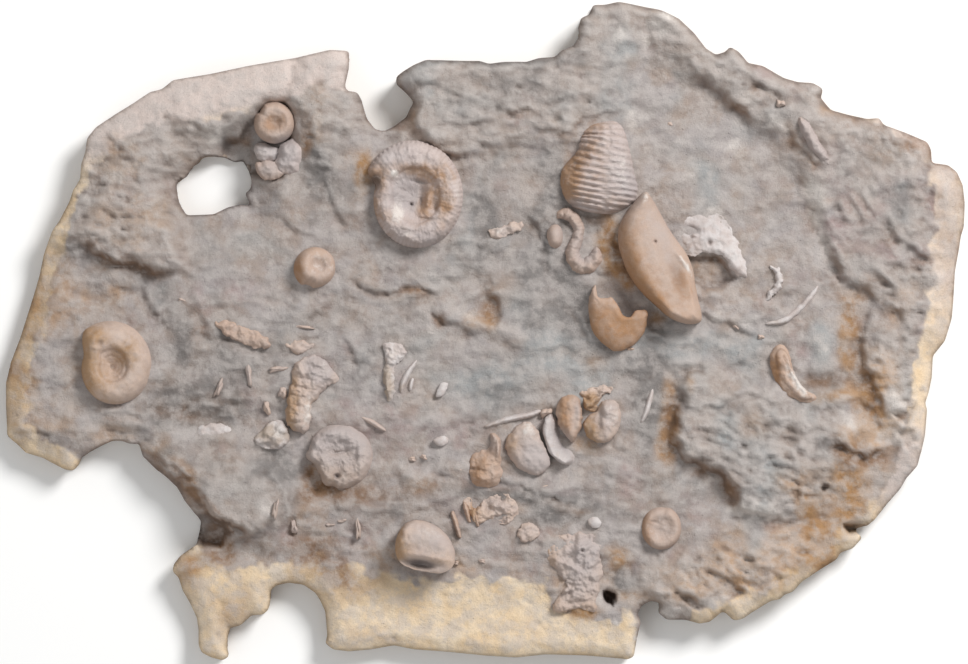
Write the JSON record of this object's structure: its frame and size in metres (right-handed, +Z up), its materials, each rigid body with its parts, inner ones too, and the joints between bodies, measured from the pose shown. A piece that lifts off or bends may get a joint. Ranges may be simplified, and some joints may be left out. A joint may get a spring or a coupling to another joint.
{
  "type": "ammonite fossil slab",
  "caption": "Ragged flat slab of prepared rock that displays ammonites, clam valves, snails, worm tubes and shell splinters in relief, for lying on a flat surface.",
  "frame": {"origin": "centre of the box's underside, on the surface that the slab lies on", "axes": "+X along the slab's long side towards its rounded end, +Y towards its notched edge, +Z up out of the fossil side"},
  "size_m": [0.3, 0.2059, 0.0241],
  "materials": {
    "matrix_grey": "dull grey marl, tan where the rim is weathered",
    "shell_grey": "dull grey-brown fossil shell with fine ribs",
    "shell_cream": "dull cream fossil shell",
    "shell_tan": "smooth tan-brown fossil shell",
    "shell_white": "chalky white shell"
  },
  "bodies": {
    "root": {"matrix_slab": "matrix_grey", "ammonite_large": "shell_grey", "ammonite_west": "shell_cream", "ammonite_centre": "shell_tan", "ammonite_niche": "shell_tan", "ammonite_worn": "shell_cream", "ammonite_tilted": "shell_cream", "ammonite_ring": "shell_tan", "clam_valve": "shell_tan", "clam_broken": "shell_tan", "shell_lace": "shell_white", "clam_crescent": "shell_tan", "oyster_hooked": "shell_tan", "clam_oval": "shell_cream", "clam_edge": "shell_white", "clam_cup_west": "shell_tan", "clam_cup_east": "shell_cream", "shell_crumbs": "shell_cream", "snail_spired": "shell_cream", "lump_spired": "shell_white", "lump_niche_west": "shell_white", "lump_niche_east": "shell_grey", "lump_niche_south": "shell_tan", "ammonite_crumbled": "shell_cream", "shell_heap_west": "shell_cream", "shell_heap_east": "shell_cream", "splinter_broad": "shell_white", "flake_white": "shell_white", "flake_north": "shell_cream", "shard_tan": "shell_tan", "shell_egg": "shell_white", "chip_north": "shell_cream", "chip_east": "shell_white", "chip_south": "shell_white", "ammonite_on_edge": "shell_grey", "worm_tube": "shell_tan", "worm_bead": "shell_tan", "belemnite": "shell_tan", "shell_hook": "shell_white", "shell_arc": "shell_white", "clam_edge_long": "shell_white", "splinter_long": "shell_white", "splinter_short": "shell_white", "splinter_east": "shell_white", "splinter_west": "shell_cream", "slat_a": "shell_tan", "slat_b": "shell_tan", "slat_c": "shell_tan"}
  },
  "joints": []
}
